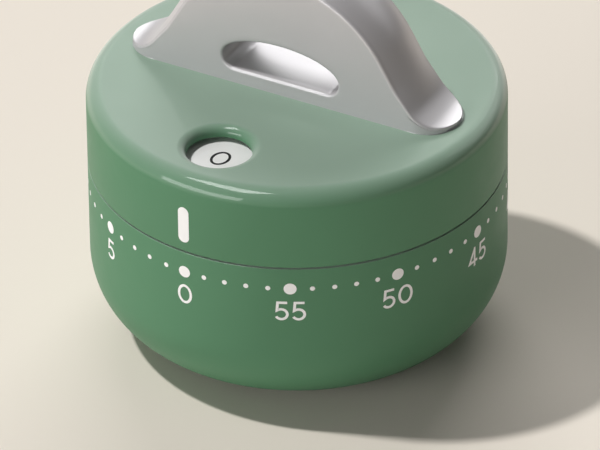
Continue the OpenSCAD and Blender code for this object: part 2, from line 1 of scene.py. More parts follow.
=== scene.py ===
# %% [markdown]
# # A wind-up kitchen timer
# The timer is a round base with a printed minute scale, under a cap that turns. The cap carries a
# metal arch to hold it by and a round window over a dial. Inside are a clockwork and a bell.
# The engineering model gives every size. This file gives the visible skins their smooth shape,
# prints the scale, and paints every piece.

# %% Load the frame
import json
from bisect import bisect_left
from math import acos, atan2, cos, degrees, hypot, pi, radians, sin, sqrt, tan

import bmesh
import bpy
from mathutils import Matrix, Vector


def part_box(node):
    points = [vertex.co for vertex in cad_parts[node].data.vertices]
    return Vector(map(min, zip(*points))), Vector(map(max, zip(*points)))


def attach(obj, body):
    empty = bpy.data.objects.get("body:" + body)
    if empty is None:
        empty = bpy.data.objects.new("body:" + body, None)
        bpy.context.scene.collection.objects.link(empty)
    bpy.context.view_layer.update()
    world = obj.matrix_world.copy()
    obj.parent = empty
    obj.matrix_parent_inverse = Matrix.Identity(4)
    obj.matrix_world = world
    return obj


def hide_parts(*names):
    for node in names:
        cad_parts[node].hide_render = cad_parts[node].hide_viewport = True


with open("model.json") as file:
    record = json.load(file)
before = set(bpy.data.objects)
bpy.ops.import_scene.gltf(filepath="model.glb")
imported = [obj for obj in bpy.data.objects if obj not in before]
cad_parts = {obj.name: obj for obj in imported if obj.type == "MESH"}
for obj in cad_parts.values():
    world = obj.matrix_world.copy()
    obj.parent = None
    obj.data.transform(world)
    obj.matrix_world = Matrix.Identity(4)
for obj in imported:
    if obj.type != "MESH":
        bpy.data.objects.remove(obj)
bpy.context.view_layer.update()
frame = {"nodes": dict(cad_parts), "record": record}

mm = 0.001

# %% [markdown]
# ## Sizes
# The main places are read from the frame, so a change of size there carries through. Roundings and
# other sizes that the frame does not name are given once, beside the piece they shape. All are in
# metres.

# %% Read the main sizes
cap_low, cap_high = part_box("cap")
ring_low, ring_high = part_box("bearing_ring")
shell_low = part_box("base_shell")[0]
grip_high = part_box("grip")[1]
dial_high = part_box("dial_disc")[1]
cover_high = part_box("bottom_cover")[1]
carrier_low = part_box("dial_carrier")[0]
plate_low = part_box("movement_bottom_plate")[0]

seam_gap = 0.35 * mm
dial_gap = 0.8 * mm
body_r = cap_high.x
base_z = shell_low.z
seam_z = cap_low.z - seam_gap
top_z = cap_high.z
under_z = dial_high.z + dial_gap
wall = 2 * mm
inner_r = body_r - wall
scale_z = base_z + 27.5 * mm
print(f"body {2000 * body_r:.1f} mm across, seam at {1000 * seam_z:.1f} mm, cap at {1000 * top_z:.1f} mm")

# %% [markdown]
# ## Camera
# A long lens from a metre and a half away, a little to the right of the index and looking down,
# gives the nearly parallel lines of a product view. It is rolled by less than a degree.

# %% Place the camera
view_azimuth = radians(32.5)
view_elevation = radians(33.75)
view_roll = radians(-0.75)
view_distance = 40.9 * body_r
aim_down = 0.25714 * body_r
aim_right = 0.00667 * body_r

back = Vector((sin(view_azimuth) * cos(view_elevation), -cos(view_azimuth) * cos(view_elevation),
               sin(view_elevation)))
right = Vector((cos(view_azimuth), sin(view_azimuth), 0))
up = back.cross(right)
aim = Vector((0, 0, scale_z)) - aim_down * up + aim_right * right
camera_data = bpy.data.cameras.new("camera")
camera_data.sensor_width = 36
camera_data.lens = 515
camera_data.clip_end = 100
camera = bpy.data.objects.new("camera", camera_data)
bpy.context.scene.collection.objects.link(camera)
turn = Matrix((right, up, back)).transposed() @ Matrix.Rotation(view_roll, 3, "Z")
camera.matrix_world = Matrix.Translation(aim + view_distance * back) @ turn.to_4x4()
bpy.context.scene.camera = camera
print("camera at", [round(value, 3) for value in camera.location])

# %% [markdown]
# ## Light and floor
# A sun high on the left throws the shadow to the right. It lights the surfaces but makes no
# highlight of its own. Two soft boxes light the room: a wide one behind and above, and a low one in
# front on the left, which lifts that side. Two cards show only in reflections: one on the right, and
# one high on the left, which draws the bright lines along the cap's shoulder.

# %% Helpers for the studio
def studio_point(across, away, height):
    """A point given as the camera sees it: to the right, away from it, and up."""
    forward = Vector((-sin(view_azimuth), cos(view_azimuth), 0))
    return across * right + away * forward + Vector((0, 0, height))


def soft_box(name, place, target, size, power):
    lamp = bpy.data.lights.new(name, "AREA")
    lamp.shape = "RECTANGLE"
    lamp.size, lamp.size_y = size
    lamp.energy = power
    holder = bpy.data.objects.new(name, lamp)
    bpy.context.scene.collection.objects.link(holder)
    facing = (target - place).to_track_quat("-Z", "Y")
    holder.matrix_world = Matrix.Translation(place) @ facing.to_matrix().to_4x4()
    return holder


# %% Set the lights
middle = Vector((0, 0, 30 * mm))
key_height = radians(60)
key_data = bpy.data.lights.new("key", "SUN")
key_data.energy = 2.12
key_data.angle = radians(3.2)
key_data.color = (1, 0.995, 0.985)
key = bpy.data.objects.new("key", key_data)
bpy.context.scene.collection.objects.link(key)
key_side = studio_point(-0.98, 0.19, 0).normalized()
key_way = cos(key_height) * key_side + Vector((0, 0, sin(key_height)))
key.matrix_world = key_way.to_track_quat("Z", "Y").to_matrix().to_4x4()
key.visible_glossy = False
soft_box("back_wall", studio_point(0.3, 3.2, 2.2), middle, (3.0, 1.8), 80)
soft_box("front_fill", studio_point(-2.1, -1.7, 0.6), middle, (2.2, 1.0), 38)
side_card = soft_box("side_card", studio_point(1.2, 0.85, 1.0), middle, (1.2, 0.9), 2.5)
top_card = soft_box("top_card", studio_point(-0.75, -0.35, 2.0), middle, (1.1, 0.6), 22)
for card in (side_card, top_card):
    card.visible_diffuse = False

world = bpy.data.worlds.new("room")
world.use_nodes = True
room = world.node_tree.nodes["Background"]
room.inputs["Color"].default_value = (1, 0.99, 0.98, 1)
room.inputs["Strength"].default_value = 0.08
bpy.context.scene.world = world
bpy.context.scene.view_settings.view_transform = "Standard"

# %% [markdown]
# ## Materials
# Each finish is a small graph of nodes on Object coordinates, in metres. Noise at the right scale
# gives each surface what a real one has: the faint orange peel of moulded plastic, the grain of
# brushed metal, the blued look of a spring. Numbers that are the same all over are set on the
# shader's own sockets.

# %% A builder for finishes
def make_finish(name, colour, roughness, metallic=0.0, specular=0.5, coat=0.0, coat_roughness=0.1):
    """A material with a plain shader; returns it with its nodes, links and shader."""
    finish = bpy.data.materials.new(name)
    finish.use_nodes = True
    finish.diffuse_color = (*colour, 1)
    nodes, links = finish.node_tree.nodes, finish.node_tree.links
    shader = nodes["Principled BSDF"]
    shader.inputs["Base Color"].default_value = (*colour, 1)
    shader.inputs["Roughness"].default_value = roughness
    shader.inputs["Metallic"].default_value = metallic
    shader.inputs["Specular IOR Level"].default_value = specular
    shader.inputs["Coat Weight"].default_value = coat
    shader.inputs["Coat Roughness"].default_value = coat_roughness
    return finish, nodes, links, shader


def add_noise(nodes, links, scale, detail, stretch=(1, 1, 1)):
    """Noise on Object coordinates; scale is in bumps per metre."""
    place = nodes.new("ShaderNodeTexCoord")
    mapping = nodes.new("ShaderNodeMapping")
    mapping.inputs["Scale"].default_value = stretch
    noise = nodes.new("ShaderNodeTexNoise")
    noise.inputs["Scale"].default_value = scale
    noise.inputs["Detail"].default_value = detail
    links.new(place.outputs["Object"], mapping.inputs["Vector"])
    links.new(mapping.outputs["Vector"], noise.inputs["Vector"])
    return noise


def vary(nodes, links, noise, low, high, socket):
    """Spreads a noise between two values into a socket."""
    spread = nodes.new("ShaderNodeMapRange")
    spread.inputs["From Min"].default_value = 0.3
    spread.inputs["From Max"].default_value = 0.7
    spread.inputs["To Min"].default_value = low
    spread.inputs["To Max"].default_value = high
    links.new(noise.outputs["Fac"], spread.inputs["Value"])
    links.new(spread.outputs["Result"], socket)


def vary_colour(nodes, links, noise, low, high, shader):
    """Blends two close colours by a noise into the shader."""
    mix = nodes.new("ShaderNodeMix")
    mix.data_type = "RGBA"
    mix.inputs["A"].default_value = (*low, 1)
    mix.inputs["B"].default_value = (*high, 1)
    links.new(noise.outputs["Fac"], mix.inputs["Factor"])
    links.new(mix.outputs["Result"], shader.inputs["Base Color"])


def add_bump(nodes, links, noise, shader, distance, strength):
    """Lets a noise raise the surface by up to distance metres."""
    bump = nodes.new("ShaderNodeBump")
    bump.inputs["Strength"].default_value = strength
    bump.inputs["Distance"].default_value = distance
    links.new(noise.outputs["Fac"], bump.inputs["Height"])
    links.new(bump.outputs["Normal"], shader.inputs["Normal"])


# %% [markdown]
# The green is a satin moulding: a thin gloss, a very faint orange peel in it, and a tiny drift of
# colour, so that the large plain faces do not look computed. A pale painted sheen lies on whatever
# faces up, so the top reads lighter and whiter than the sides, and the coat is made glossier on the sloping
# roundings to paint a brighter highlight line along the shoulder. Both follow the surface's slope.

# %% Green moulded plastic
def green_plastic():
    finish, nodes, links, shader = make_finish("green_plastic", (0.094, 0.234, 0.128), 0.5, specular=0.2,
                                               coat=0.08, coat_roughness=0.06)
    facing = nodes.new("ShaderNodeNewGeometry")
    split = nodes.new("ShaderNodeSeparateXYZ")
    links.new(facing.outputs["Normal"], split.inputs["Vector"])
    # Painted sheen: a pale whitish sheen, weighted by how far each face points up, so the top reads lighter
    # than the sides.
    painted_top_sheen = nodes.new("ShaderNodeMapRange")
    painted_top_sheen.inputs["From Min"].default_value = 0.1
    painted_top_sheen.inputs["From Max"].default_value = 1
    painted_top_sheen.inputs["To Max"].default_value = 0.85
    links.new(split.outputs["Z"], painted_top_sheen.inputs["Value"])
    links.new(painted_top_sheen.outputs["Result"], shader.inputs["Sheen Weight"])
    shader.inputs["Sheen Roughness"].default_value = 0.7
    # Painted highlight: the coat weight is raised on sloping faces, the shoulder and the roundings, so that
    # they carry a brighter highlight line.
    shoulder_highlight_coat = nodes.new("ShaderNodeFloatCurve")
    gloss = shoulder_highlight_coat.mapping.curves[0]
    gloss.points[0].location, gloss.points[1].location = (0, 0.06), (1, 0.09)
    for slope, weight in ((0.15, 0.1), (0.4, 0.7), (0.85, 0.7), (0.98, 0.1)):
        gloss.points.new(slope, weight)
    shoulder_highlight_coat.mapping.update()
    links.new(split.outputs["Z"], shoulder_highlight_coat.inputs["Value"])
    links.new(shoulder_highlight_coat.outputs["Value"], shader.inputs["Coat Weight"])
    drift = add_noise(nodes, links, 60, 2)
    vary_colour(nodes, links, drift, (0.092, 0.229, 0.125), (0.096, 0.239, 0.131), shader)
    cloud = add_noise(nodes, links, 220, 3)
    vary(nodes, links, cloud, 0.47, 0.53, shader.inputs["Roughness"])
    peel = add_noise(nodes, links, 700, 1)
    add_bump(nodes, links, peel, shader, 0.002 * mm, 0.12)
    return finish


green = green_plastic()

# %% [markdown]
# The arch is a casting with a satin finish. Its grain is noise stretched along X, the way a belt
# runs over it, both in the roughness and, very slightly, in the surface.

# %% Satin metal
def satin_metal():
    # The grey is tinted a little towards magenta, painted to cancel the green light that the cap reflects
    # onto the arch.
    finish, nodes, links, shader = make_finish("satin_metal", (0.585, 0.57, 0.585), 0.36, metallic=0.35)
    grain = add_noise(nodes, links, 1500, 3, stretch=(0.08, 1, 1))
    vary(nodes, links, grain, 0.34, 0.38, shader.inputs["Roughness"])
    cloud = add_noise(nodes, links, 120, 2)
    vary_colour(nodes, links, cloud, (0.575, 0.56, 0.575), (0.595, 0.58, 0.595), shader)
    fine = add_noise(nodes, links, 5000, 2, stretch=(0.1, 1, 1))
    add_bump(nodes, links, fine, shader, 0.001 * mm, 0.1)
    return finish


metal = satin_metal()

# %% [markdown]
# Printing ink is matt, its roughness and surface a little uneven. White plastic, used for the dial and the
# glide ring, has a finer surface than the body.

# %% Inks and pale plastics
def ink(name, colour):
    finish, nodes, links, shader = make_finish(name, colour, 0.55, specular=0.4)
    mottle = add_noise(nodes, links, 3000, 2)
    vary(nodes, links, mottle, 0.45, 0.65, shader.inputs["Roughness"])
    add_bump(nodes, links, mottle, shader, 0.002 * mm, 0.2)
    return finish


def plain_plastic(name, colour, roughness):
    finish, nodes, links, shader = make_finish(name, colour, roughness, specular=0.45)
    cloud = add_noise(nodes, links, 500, 3)
    darker = tuple(0.94 * value for value in colour)
    vary_colour(nodes, links, cloud, darker, colour, shader)
    vary(nodes, links, cloud, roughness - 0.05, roughness + 0.05, shader.inputs["Roughness"])
    fine = add_noise(nodes, links, 4000, 2)
    add_bump(nodes, links, fine, shader, 0.004 * mm, 0.3)
    return finish


white_ink = ink("white_ink", (0.94, 0.93, 0.93))
black_ink = ink("black_ink", (0.012, 0.012, 0.013))
white_plastic = plain_plastic("white_plastic", (0.93, 0.93, 0.92), 0.42)
carrier_plastic = plain_plastic("carrier_plastic", (0.70, 0.69, 0.65), 0.5)
black_plastic = plain_plastic("black_plastic", (0.025, 0.025, 0.027), 0.55)
rubber = plain_plastic("rubber", (0.014, 0.014, 0.014), 0.8)

# %% [markdown]
# The works are brass and steel. Brass carries a fine turned grain and a drift towards brown where
# it has aged; the springs are blued, and the bell is polished with a few soft clouds.

# %% Metals of the clockwork
def works_metal(name, colour, aged, roughness, stretch=(1, 1, 1)):
    finish, nodes, links, shader = make_finish(name, colour, roughness, metallic=1.0)
    age = add_noise(nodes, links, 250, 4)
    vary_colour(nodes, links, age, colour, aged, shader)
    grain = add_noise(nodes, links, 3500, 3, stretch=stretch)
    vary(nodes, links, grain, roughness - 0.07, roughness + 0.08, shader.inputs["Roughness"])
    add_bump(nodes, links, grain, shader, 0.003 * mm, 0.3)
    return finish


brass = works_metal("brass", (0.72, 0.53, 0.22), (0.58, 0.40, 0.16), 0.3, (0.1, 1, 1))
steel = works_metal("steel", (0.60, 0.61, 0.63), (0.50, 0.51, 0.53), 0.28, (1, 1, 0.1))
blued_steel = works_metal("blued_steel", (0.20, 0.23, 0.32), (0.26, 0.25, 0.30), 0.3)
bell_metal = works_metal("bell_metal", (0.74, 0.74, 0.75), (0.66, 0.66, 0.68), 0.14)

finish_of_slot = {
    "green_body": green, "grip_metal": metal, "black_plastic": black_plastic, "foot_rubber": rubber,
    "white_plastic": white_plastic, "carrier_plastic": carrier_plastic, "steel": steel,
    "spring_steel": blued_steel, "bell_metal": bell_metal, "brass": brass,
}
for part in frame["record"]["subparts"]:
    node = frame["nodes"][part["node"]]
    node.data.materials.clear()
    node.data.materials.append(finish_of_slot[part["material_slot"]])

# %% [markdown]
# ## Making pieces
# Most of the timer is turned: a half section is spun round an axis. Arcs are made by a formula,
# so each rounding is one call. Faces are smooth, and an edge sharper than thirty degrees stays
# crisp.

# %% Helpers for turned pieces
def arc(centre, radius, start, end, steps):
    """Points of an arc in a half section, angles in degrees from +r towards +z."""
    angles = [radians(start + (end - start) * i / steps) for i in range(steps + 1)]
    return [(centre[0] + radius * cos(a), centre[1] + radius * sin(a)) for a in angles]


def spin(bm, section, steps=256, centre=(0, 0), closed=False):
    """Spins a half section of (r, z) points round a vertical axis, and returns its first vertices."""
    line = [bm.verts.new((centre[0] + r, centre[1], z)) for r, z in section]
    edges = [bm.edges.new(pair) for pair in zip(line, line[1:])]
    if closed:
        edges.append(bm.edges.new((line[-1], line[0])))
    bmesh.ops.spin(bm, geom=line + edges, cent=(*centre, 0), axis=(0, 0, 1), angle=2 * pi, steps=steps,
                   use_merge=True)
    return line


def ring_edges(bm, centre, radius, height):
    """The edges that lie on one circle at one height."""
    def on_ring(vert):
        reach = hypot(vert.co.x - centre[0], vert.co.y - centre[1])
        return abs(reach - radius) < 1e-6 and abs(vert.co.z - height) < 1e-6
    return [e for e in bm.edges if on_ring(e.verts[0]) and on_ring(e.verts[1])]


def finish_piece(name, bm, material, body, stands_for=(), sharp=30):
    """Closes, shades and paints a mesh, and hands it to its body."""
    bmesh.ops.remove_doubles(bm, verts=bm.verts, dist=1e-7)
    bmesh.ops.dissolve_degenerate(bm, edges=bm.edges, dist=1e-8)
    bmesh.ops.recalc_face_normals(bm, faces=bm.faces)
    for face in bm.faces:
        face.smooth = True
    for edge in bm.edges:
        edge.smooth = len(edge.link_faces) != 2 or edge.calc_face_angle(0) < radians(sharp)
    mesh = bpy.data.meshes.new(name)
    bm.to_mesh(mesh)
    loose = sum(1 for edge in bm.edges if len(edge.link_faces) != 2)
    bm.free()
    mesh.materials.append(material)
    piece = bpy.data.objects.new(name, mesh)
    bpy.context.scene.collection.objects.link(piece)
    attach(piece, body)
    if stands_for:
        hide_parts(*stands_for)
    print(f"{name}: {len(mesh.polygons)} faces, {loose} open edges")


# %% [markdown]
# ## The base shell
# The shell is one moulding: a bowl with a wide lower rounding, a straight side up to the seam,
# and a thin spigot that the cap turns on. The section below goes once round the plastic, outside
# first, and is spun. Three bosses that hold the clockwork stand inside on the floor.

# %% Turn the base shell
edge_round = 0.1 * mm
bottom_round = 14 * mm
floor_r = body_r - bottom_round
recess_r = cover_high.x + 0.15 * mm
round_z = base_z + bottom_round
floor_z = cover_high.z + 1.4 * mm
floor_hole_r = 16.2 * mm
ledge_z = carrier_low.z
ledge_t, ledge_w = 1.6 * mm, 3.4 * mm
spigot_out, spigot_in = ring_high.x - 0.5 * mm, ring_high.x - 0.9 * mm
spigot_root_z = ledge_z + 1.8 * mm
foot_round = 0.3 * mm
hollow_round = bottom_round - wall
hollow_end = degrees(acos((round_z - floor_z) / hollow_round)) - 90

section = [(recess_r, base_z + foot_round), (recess_r + foot_round, base_z), (floor_r - foot_round, base_z)]
section += arc((floor_r, round_z), bottom_round, -90, 0, 40)
section += arc((body_r - edge_round, seam_z - edge_round), edge_round, 0, 90, 5)
section += [(spigot_out, seam_z), (spigot_out, ring_low.z), (spigot_in, ring_low.z),
            (spigot_in, spigot_root_z), (inner_r, spigot_root_z), (inner_r, ledge_z),
            (inner_r - ledge_w, ledge_z), (inner_r - ledge_w, ledge_z - ledge_t),
            (inner_r, ledge_z - ledge_t)]
section += arc((floor_r, round_z), hollow_round, 0, hollow_end, 24)
section += [(floor_hole_r, floor_z), (floor_hole_r, cover_high.z), (recess_r, cover_high.z)]

shell = bmesh.new()
spin(shell, section, closed=True)
boss_r, boss_at, boss_sink = 2.6 * mm, 25.5 * mm, 1 * mm
boss_h = plate_low.z - floor_z + boss_sink
for angle in (50, 170, 290):
    middle_of_boss = Matrix.Translation((boss_at, 0, plate_low.z - boss_h / 2))
    bmesh.ops.create_cone(shell, cap_ends=True, segments=48, radius1=boss_r, radius2=boss_r, depth=boss_h,
                          matrix=Matrix.Rotation(radians(angle), 4, "Z") @ middle_of_boss)
finish_piece("base_skin", shell, green, "base", ["base_shell"])

# %% [markdown]
# ## The cap
# The side, the rounded shoulder and the hollow are one spun section. The lip of the window is a
# second, spun round the window's own axis, and the hub is a third. The flat top and the flat
# underside are then filled between those circles. A narrow flat ring is left at each circle, so
# that the smooth shading of a rounding never leaks into the flat.

# %% Turn the cap
top_round = 3 * mm
window_r = 5.6 * mm
window_lip = 1.6 * mm
window = (0, -24.6 * mm)
flat_ring = 0.25 * mm
cap_z = cap_low.z
shoulder_z = ring_high.z + 0.2 * mm
upper_r = inner_r - 0.8 * mm
ceiling_round = 1.5 * mm
hub_r, hub_l, bore_r = 5.6 * mm, 8 * mm, 2.53 * mm

flat_r = body_r - top_round - flat_ring
ceiling_r = upper_r - ceiling_round - flat_ring
section = [(flat_r, top_z)] + arc((body_r - top_round, top_z - top_round), top_round, 90, 0, 20)
section += arc((body_r - edge_round, cap_z + edge_round), edge_round, 0, -90, 5)
section += [(inner_r + edge_round, cap_z), (inner_r, cap_z + edge_round), (inner_r, shoulder_z),
            (upper_r, shoulder_z)]
section += arc((upper_r - ceiling_round, under_z - ceiling_round), ceiling_round, 0, 90, 8)
section += [(ceiling_r, under_z)]

cap = bmesh.new()
spin(cap, section)
lip_r = window_r + window_lip + flat_ring
lip_under_r = window_r + 0.3 * mm
lip = [(lip_r, top_z)] + arc((window_r + window_lip, top_z - window_lip), window_lip, 90, 180, 12)
lip += [(window_r, under_z + edge_round), (window_r + edge_round, under_z), (lip_under_r, under_z)]
spin(cap, lip, 128, window)
hub_bevel = 0.4 * mm
bore_top_z = under_z - 0.02 * mm
hub_root = hub_r + hub_bevel
hub = [(hub_root, under_z), (hub_r, under_z - hub_bevel), (hub_r, under_z - hub_l), (bore_r, under_z - hub_l),
       (bore_r, bore_top_z), (0, bore_top_z)]
spin(cap, hub, 96)
bmesh.ops.remove_doubles(cap, verts=cap.verts, dist=1e-7)

# %% Fill the flats of the cap
middle_axis = (0, 0)
rims = ring_edges(cap, middle_axis, flat_r, top_z) + ring_edges(cap, window, lip_r, top_z)
bmesh.ops.triangle_fill(cap, edges=rims, use_beauty=True, normal=(0, 0, 1))
rims = (ring_edges(cap, middle_axis, ceiling_r, under_z) + ring_edges(cap, window, lip_under_r, under_z)
        + ring_edges(cap, middle_axis, hub_root, under_z))
bmesh.ops.triangle_fill(cap, edges=rims, use_beauty=True, normal=(0, 0, -1))
finish_piece("cap_skin", cap, green, "turning_cap", ["cap"])

# %% [markdown]
# ## The grip
# The arch is a casting: a bell-shaped outline with a crowned top and soft edges, and a half-round
# opening through it above a level sill. A solid with one hole is a ring, so the whole casting is
# shaped from one flat grid, rolled up both ways. Along the grid lies the walk round the outline;
# across it lies the walk from inside the opening, out over the front, over the crown and down
# the back. The rows then follow every edge, which a boolean would cut to pieces.

# %% The outline of the arch
grip_turn = radians(3.6)
grip_half_l = 31.2 * mm
grip_half_w = 6 * mm
grip_h = grip_high.z - top_z
crown_r = 23.6 * mm
flank = radians(60)
foot_t = 0.9 * mm
crown_from = 8 * mm
tip_rows = 12

crown_s, crown_z = crown_r * sin(flank), grip_h - crown_r * (1 - cos(flank))
foot_r = (grip_half_l - crown_s - (crown_z - foot_t) / tan(flank)) / tan(flank / 2)
foot_s = grip_half_l - foot_r * sin(flank)


def arch_point(s):
    """Height and fall of the arch's middle line at a distance s from the centre, s not below 0."""
    if s <= crown_s:
        angle = atan2(s, sqrt(crown_r ** 2 - s ** 2))
        return grip_h - crown_r * (1 - cos(angle)), angle
    if s <= foot_s:
        return crown_z - (s - crown_s) * tan(flank), flank
    left = grip_half_l - s
    angle = atan2(left, sqrt(foot_r ** 2 - left ** 2))
    return foot_t + foot_r * (1 - cos(angle)), angle


def half_line():
    """Distances along one half of the arch, close together where it bends or rounds in plan."""
    along = [crown_s * sin(pi / 2 * i / 72) for i in range(72)]
    along += [crown_s + (foot_s - crown_s) * i / 14 for i in range(14)]
    end_s = grip_half_l - grip_half_w
    turn_in = [end_s + grip_half_w * sin(radians(90 * i / 36)) for i in range(37)]
    return along + [s for s in turn_in if s > foot_s + 0.05 * mm]


def outline():
    """The walk round the arch: (s, z, outward s, outward z, share of the crown), from its right tip."""
    half = half_line()
    right_half = []
    for s in half:
        height, fall = arch_point(s)
        right_half.append((s, height, sin(fall), cos(fall), min(1, height / crown_from)))
    left_half = [(-s, z, -out_s, out_z, share) for s, z, out_s, out_z, share in right_half]
    table = sorted({round(s, 7) for s in half} | {-round(s, 7) for s in half})
    below = [(s, 0.0, 0.0, -1.0, 0.0) for s in table]
    left_tip = [(-grip_half_l, foot_t * (1 - i / tip_rows), -1.0, 0.0, 0.0) for i in range(1, tip_rows)]
    right_tip = [(grip_half_l, foot_t * i / tip_rows, 1.0, 0.0, 0.0) for i in range(1, tip_rows)]
    return right_half[::-1] + left_half[1:] + left_tip + below + right_tip


walk = outline()
print(f"arch: foot radius {1000 * foot_r:.1f} mm, {len(walk)} places round it")

# %% [markdown]
# Each place on the outline is joined to one on the opening's edge. The feet are low, and a straight
# line to their tips would leave the casting. So the lines are drawn straight in a stretched picture,
# in which every height is a share of the flat's own height there, and the flat is a plain rectangle.

# %% The flat of the front
crown_bulge = 1.2 * mm
edge_r, foot_edge_r = 0.6 * mm, 0.35 * mm


def half_width(s):
    over = abs(s) - (grip_half_l - grip_half_w)
    return grip_half_w if over <= 0 else sqrt(max(grip_half_w ** 2 - over ** 2, 0))


def flat_corner(place):
    """Where the flat of the front ends under a place of the outline, with the corner and bulge there."""
    s, z, out_s, out_z, share = place
    width = half_width(s)
    corner = foot_edge_r + (edge_r - foot_edge_r) * share if out_z > 0 else 0
    corner = min(corner, 0.9 * width)
    bulge = crown_bulge * share * (width / grip_half_w) ** 2
    return Vector((s - out_s * (bulge + corner), z - out_z * (bulge + corner))), corner, bulge


right_places = walk[:len(half_line())]
flat_line = sorted((tuple(flat_corner(place)[0]) for place in right_places), key=lambda spot: spot[0])


def flat_height(s):
    """Height of the flat's upper edge at a distance s from the middle."""
    s = min(abs(s), flat_line[-1][0])
    number = max(1, min(len(flat_line) - 1, bisect_left(flat_line, (s,))))
    (s0, z0), (s1, z1) = flat_line[number - 1], flat_line[number]
    return z0 + (z1 - z0) * (s - s0) / max(s1 - s0, 1e-9)


# %% The opening
opening_w, opening_h, opening_z = 22.4 * mm, 6.8 * mm, 2.8 * mm
opening_corner = 2.4 * mm
hub_share = 0.2


def in_opening(s, z):
    """Whether a place is in the opening: half an ellipse on a level sill, its lower corners round."""
    lift = z - opening_z - opening_corner
    if lift >= 0:
        return (s / (opening_w / 2)) ** 2 + (lift / (opening_h - opening_corner)) ** 2 <= 1
    corner_s = opening_w / 2 - opening_corner
    return lift >= -opening_corner if abs(s) <= corner_s else hypot(abs(s) - corner_s, lift) <= opening_corner


def between(start, end, t):
    """A place on the line between two places that is straight in the stretched picture."""
    s = start[0] + (end[0] - start[0]) * t
    shares = [z / flat_height(at) for at, z in (start, end)]
    return Vector((s, (shares[0] + (shares[1] - shares[0]) * t) * flat_height(s)))


def opening_point(place):
    """Where the line from the opening's inside to a place of the outline crosses the opening's edge."""
    s, z, _, out_z, _ = place
    start = (0, hub_share * flat_height(0))
    end = (s, flat_height(s) * (z / foot_t if out_z == 0 else out_z > 0))
    near, far = 0.0, 1.0
    for halving in range(30):
        reach = (near + far) / 2
        near, far = (reach, far) if in_opening(*between(start, end, reach)) else (near, reach)
    return between(start, end, near)


inner_line = [opening_point(place) for place in walk]
heights = [spot.y for spot in inner_line]
print(f"opening: sill at {1000 * min(heights):.1f} mm, top at {1000 * max(heights):.1f} mm")

# %% One walk across the casting
rim_r = 0.5 * mm
tunnel_rows, rim_rows, face_rows, edge_rows, crown_rows = 6, 6, 22, 5, 14


def walk_across(number):
    """Half a cross-section, from the middle of the opening's wall to the middle of the crown."""
    s, z, out_s, out_z = walk[number][:4]
    width = half_width(s)
    outer, corner, bulge = flat_corner(walk[number])
    inner = inner_line[number]
    along = inner_line[(number + 1) % len(walk)] - inner_line[number - 1]
    away = Vector((along.y, -along.x)).normalized()
    points = []
    for i in range(tunnel_rows):
        points.append((inner.x, (grip_half_w - rim_r) * i / tunnel_rows, inner.y))
    for i in range(rim_rows):
        angle = pi / 2 * i / rim_rows
        spot = inner + away * rim_r * (1 - cos(angle))
        points.append((spot.x, grip_half_w - rim_r + rim_r * sin(angle), spot.y))
    start = inner + away * rim_r
    for i in range(face_rows):
        spot = between(start, outer, i / face_rows)
        points.append((spot.x, half_width(spot.x), spot.y))
    for i in range(edge_rows):
        angle = pi / 2 * i / edge_rows
        sink = corner * (1 - sin(angle)) + bulge
        points.append((s - out_s * sink, width - corner * (1 - cos(angle)), z - out_z * sink))
    for i in range(crown_rows + 1):
        across = 1 - i / crown_rows
        sink = bulge * across ** 2
        points.append((s - out_s * sink, (width - corner) * across, z - out_z * sink))
    return points


# %% Roll the grid into the casting
columns = []
for number in [*range(len(walk)), 0]:
    back_half = walk_across(number)
    front_half = [(s, -across, z) for s, across, z in back_half]
    columns.append(front_half + back_half[-2:0:-1] + [front_half[0]])

grip = bmesh.new()
bmesh.ops.create_grid(grip, x_segments=len(columns) - 1, y_segments=len(columns[0]) - 1, size=1)
for vert in grip.verts:
    i = round((vert.co.x + 1) / 2 * (len(columns) - 1))
    j = round((vert.co.y + 1) / 2 * (len(columns[0]) - 1))
    vert.co = columns[i][j]
bmesh.ops.remove_doubles(grip, verts=grip.verts, dist=0.002 * mm)
bmesh.ops.transform(grip, matrix=Matrix.Translation((0, 0, top_z)) @ Matrix.Rotation(grip_turn, 4, "Z"),
                    verts=grip.verts)
finish_piece("grip_casting", grip, metal, "turning_cap", ["grip"], 60)

# %% [markdown]
# ## Printing
# The scale is pad-printed: a film of ink a few hundredths of a millimetre thick that follows the
# round side. Dots are small discs. The figures are strokes of one width, drawn as ribbons along
# a middle line of straight runs and arcs, the way a signwriter builds them. Each print is drawn
# flat, and then wrapped round the side or laid on the dial.

# %% Ribbons, discs and wraps
ink_t = 0.03 * mm


def ribbon(bm, path, width, closed=False):
    """A flat stroke of even width along a middle line, mitred at its corners."""
    count = len(path)
    grid = bmesh.ops.create_grid(bm, x_segments=count - 1 + closed, y_segments=1, size=1)["verts"]
    columns = count - 1 + closed
    for vert in grid:
        i = round((vert.co.x + 1) / 2 * columns)
        side = 1 if vert.co.y > 0 else -1
        here = Vector(path[i % count])
        before = Vector(path[(i - 1) % count]) if closed or i > 0 else None
        after = Vector(path[(i + 1) % count]) if closed or i < count - 1 else None
        into = (here - before).normalized() if before else (after - here).normalized()
        away = (after - here).normalized() if after else into
        normal = Vector((-(into + away).y, (into + away).x)).normalized()
        stretch = 1 / max(normal.dot(Vector((-into.y, into.x))), 0.4)
        spot = here + side * width / 2 * stretch * normal
        vert.co = (spot.x, spot.y, 0)
    return grid


